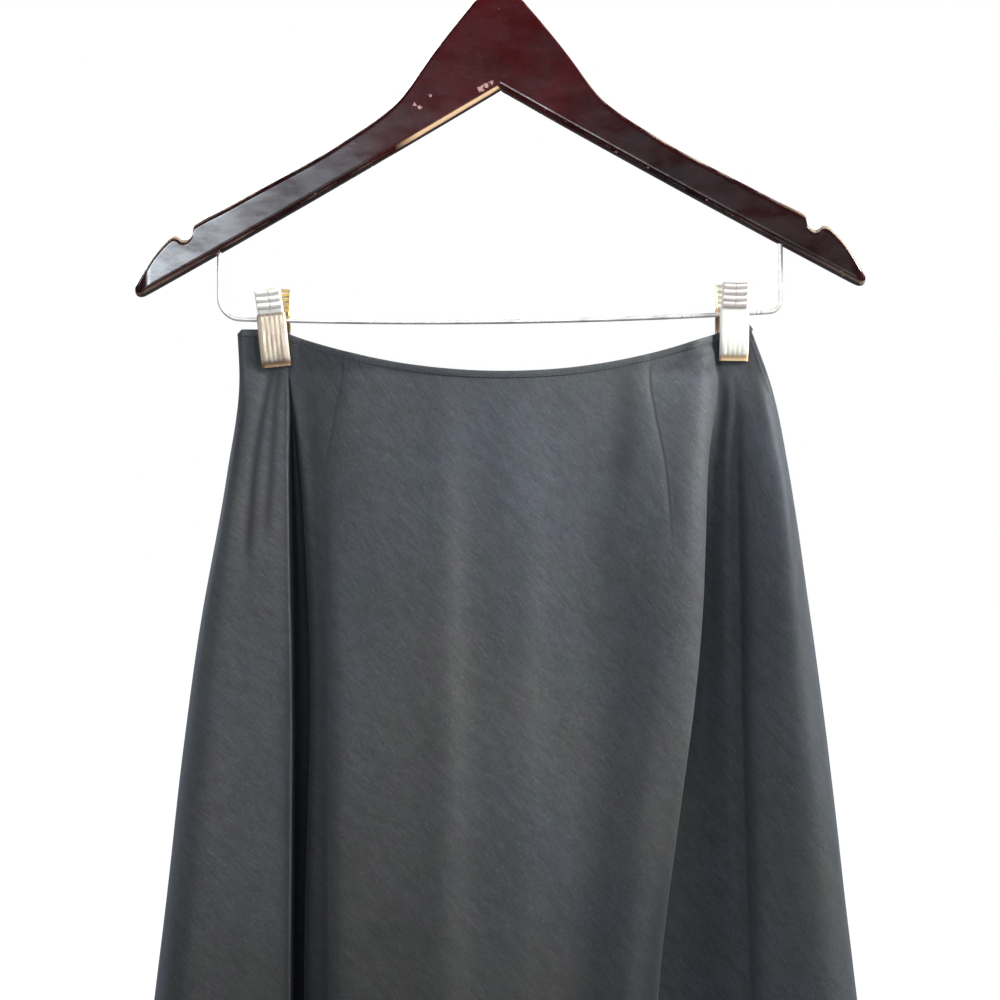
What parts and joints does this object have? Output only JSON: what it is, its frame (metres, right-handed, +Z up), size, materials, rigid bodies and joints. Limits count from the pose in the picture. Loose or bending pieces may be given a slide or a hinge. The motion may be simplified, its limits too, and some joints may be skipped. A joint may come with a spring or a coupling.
{
  "type": "a-line maxi skirt on a clip hanger",
  "caption": "Long a-line skirt of dark cloth, hung open by its waist from the clips of a lacquered wooden hanger with a wire bar and hook.",
  "frame": {"origin": "inside of the top of the hook, where a rail carries the hanger", "axes": "+Z up, -Y towards the skirt's front, +X to the viewer's right when the front is seen"},
  "size_m": [0.5427, 0.176, 1.2384],
  "materials": {
    "skirt_cloth": "charcoal twill of uneven yarn, soft and slightly lustrous",
    "waist_binding": "the same cloth, folded and pressed",
    "zip_tape": "woven tape, dull",
    "zip_metal": "dark enamel, satin",
    "hanger_wood": "dark cherry lacquer, glossy and chipped at its edges",
    "clip_brass": "bright brass plating, ribbed",
    "hanger_steel": "bright plated wire"
  },
  "bodies": {
    "skirt_on_hanger": {"front_panel": "skirt_cloth", "back_panel_left": "skirt_cloth", "back_panel_right": "skirt_cloth", "waist_edge_front": "waist_binding", "waist_edge_back_left": "waist_binding", "waist_edge_back_right": "waist_binding", "zip_tape": "zip_tape", "zip_slider": "zip_metal", "hanger_arm_left": "hanger_wood", "hanger_arm_right": "hanger_wood", "hook": "hanger_steel", "hook_collar": "hanger_steel", "wire_bar": "hanger_steel", "clip_left_front": "clip_brass", "clip_left_back": "clip_brass", "clip_left_spring": "hanger_steel", "clip_right_front": "clip_brass", "clip_right_back": "clip_brass", "clip_right_spring": "hanger_steel"},
    "zip_pull_tab": {"zip_pull": "zip_metal"}
  },
  "joints": [
    {"name": "pull_hinge", "type": "hinge", "parent": "skirt_on_hanger", "child": "zip_pull_tab", "pos_m": [0, 0.02217, -0.31123], "axis": [1, 0, 0], "range_deg": [0, 150]}
  ]
}
